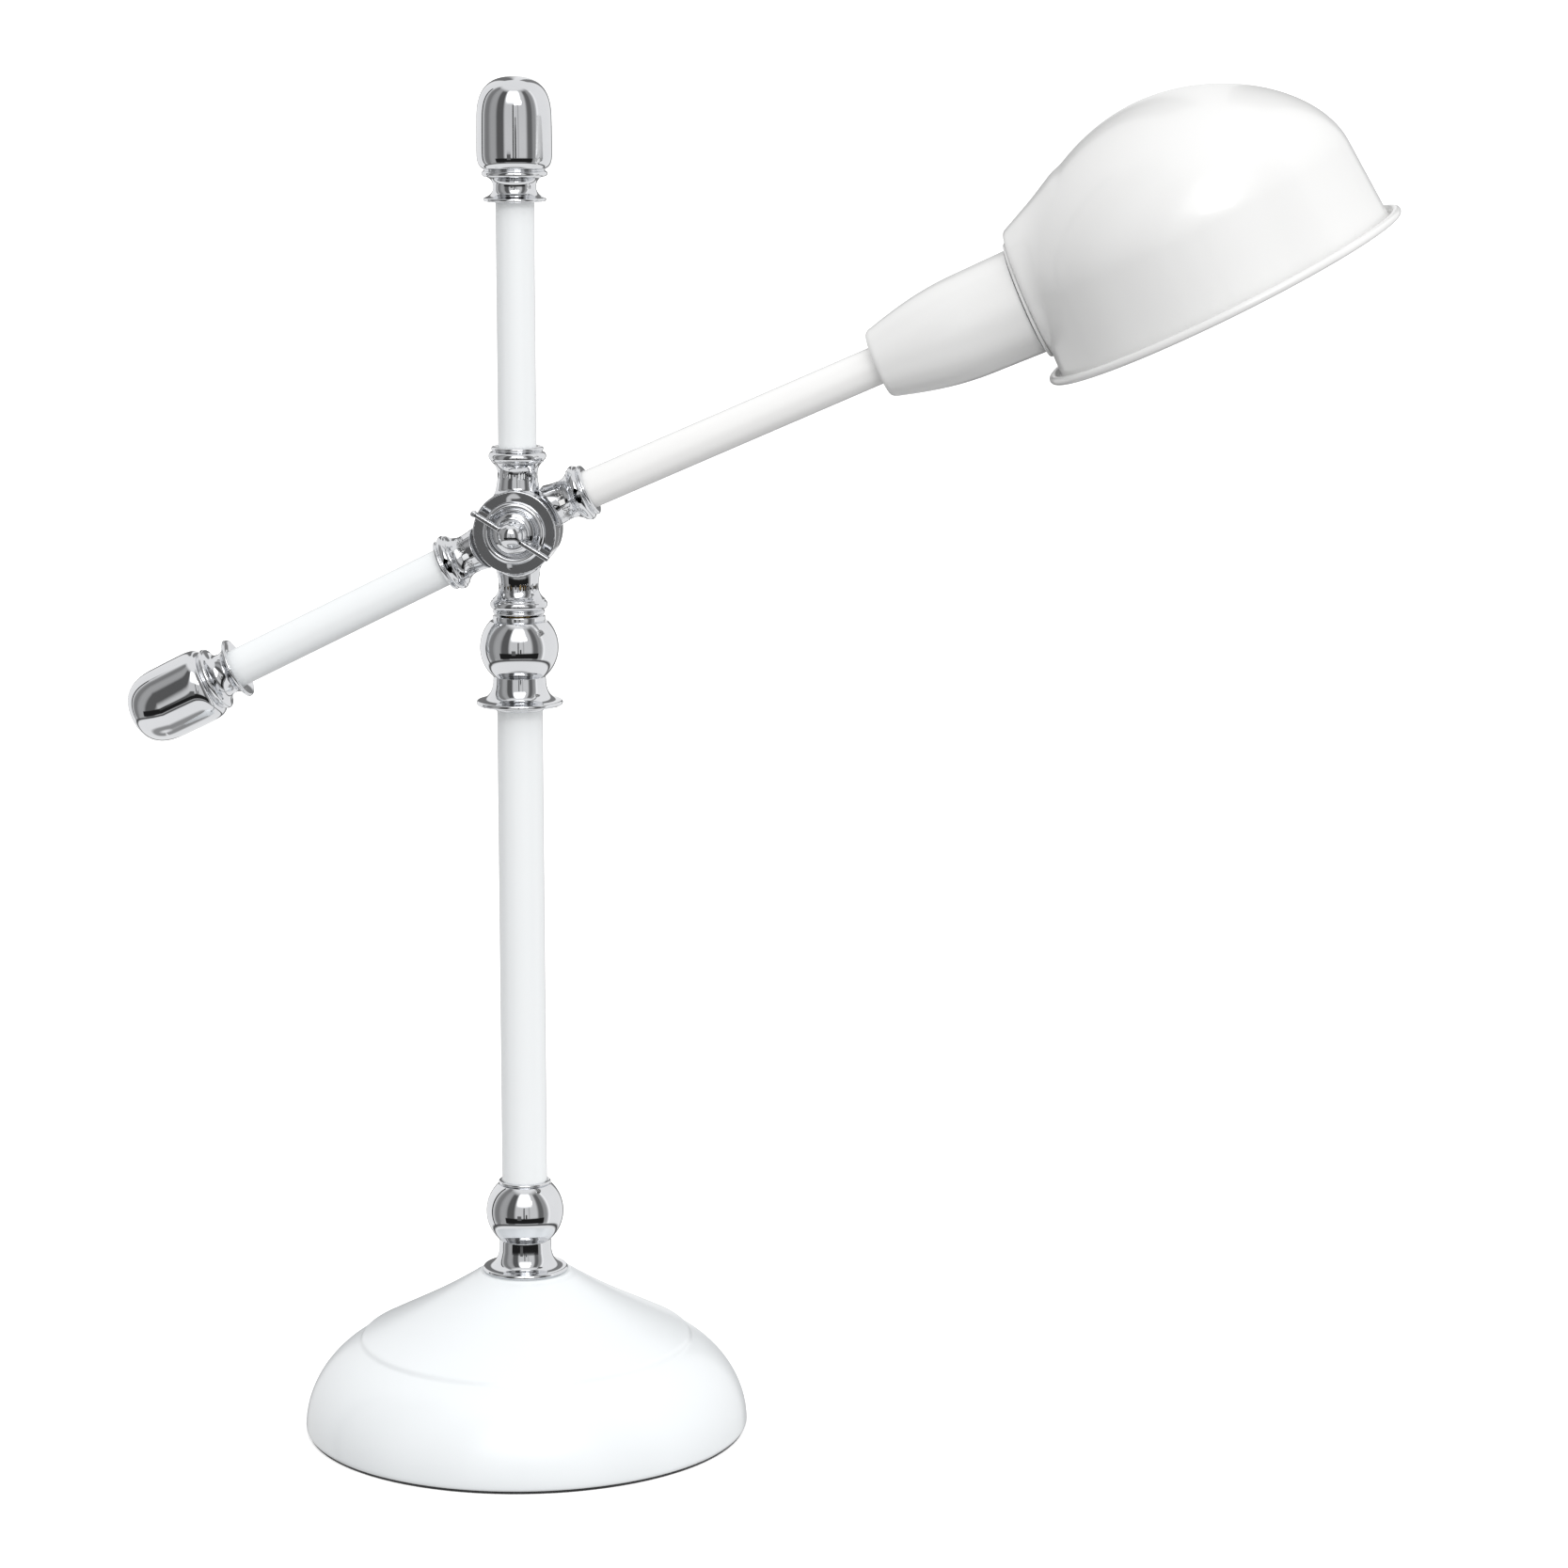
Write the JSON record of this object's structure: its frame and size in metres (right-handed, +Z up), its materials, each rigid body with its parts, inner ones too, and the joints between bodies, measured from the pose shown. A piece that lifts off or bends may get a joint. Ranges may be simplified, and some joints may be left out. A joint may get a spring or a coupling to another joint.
{
  "type": "desk lamp",
  "caption": "Architect desk lamp with a weighted spun base, chrome ball fittings, a cross pivot with wing nut, a tilting arm with a finial counterweight and a white helmet shade.",
  "frame": {"origin": "centre of the base's underside, on the surface that the lamp stands on", "axes": "+Z up along the stem; the arm lies in the XZ plane with the shade towards +X; the wing nut faces -Y and the lead inlet +Y"},
  "size_m": [0.4795, 0.1735, 0.5208],
  "materials": {
    "white_enamel": "gloss white enamel",
    "shade_enamel": "gloss white enamel",
    "chrome": "polished chrome plate",
    "black_felt": "felt pad",
    "cast_iron": "as cast",
    "plain_steel": "zinc plate",
    "brass": "plain brass",
    "white_plastic": "moulded",
    "lead_jacket": "wire jacket",
    "fibre": "pressed fibre",
    "black_phenolic": "moulded",
    "frosted_glass": "frosted"
  },
  "bodies": {
    "base": {"base_pad": "black_felt", "base_shell": "white_enamel", "base_weight": "cast_iron", "base_spacer": "plain_steel", "base_washer": "plain_steel", "base_nut": "plain_steel", "base_nipple": "brass", "cord_bushing": "white_plastic", "base_fitting": "chrome", "lower_stem": "white_enamel", "stem_lead": "lead_jacket", "stem_coupling": "chrome", "coupling_nipple": "brass"},
    "head": {"stem_casting": "chrome", "upper_stem": "white_enamel", "top_finial": "chrome", "friction_washer": "fibre", "pivot_rosette": "chrome", "nut_washer": "chrome"},
    "arm": {"arm_casting": "chrome", "pivot_bolt": "chrome", "rear_arm_tube": "white_enamel", "rear_finial": "chrome", "front_arm_tube": "white_enamel", "arm_lead": "lead_jacket", "socket_cup": "shade_enamel", "cup_nut": "plain_steel", "lamp_holder": "black_phenolic", "screw_shell": "brass", "centre_contact": "brass", "holder_ring": "black_phenolic", "bulb_cap": "plain_steel", "bulb_glass": "frosted_glass"},
    "wing_nut": {"wing_nut": "chrome"},
    "shade": {"shade": "shade_enamel", "shade_ring": "shade_enamel"}
  },
  "joints": [
    {"name": "head_swivel", "type": "hinge", "parent": "base", "child": "head", "pos_m": [0, 0, 0.3192], "axis": [0, 0, 1], "range_deg": [-170, 170]},
    {"name": "arm_tilt", "type": "hinge", "parent": "head", "child": "arm", "pos_m": [0, 0, 0.3513], "axis": [0, -1, 0], "range_deg": [-55, 3]},
    {"name": "wing_nut_turn", "type": "hinge", "parent": "arm", "child": "wing_nut", "pos_m": [0, -0.0165, 0.3513], "axis": [0, -1, 0], "range_deg": [0, 180]},
    {"name": "shade_turn", "type": "hinge", "parent": "arm", "child": "shade", "pos_m": [0.1926, 0, 0.43996], "axis": [0.915, 0, 0.4035], "range_deg": [-90, 90]}
  ]
}
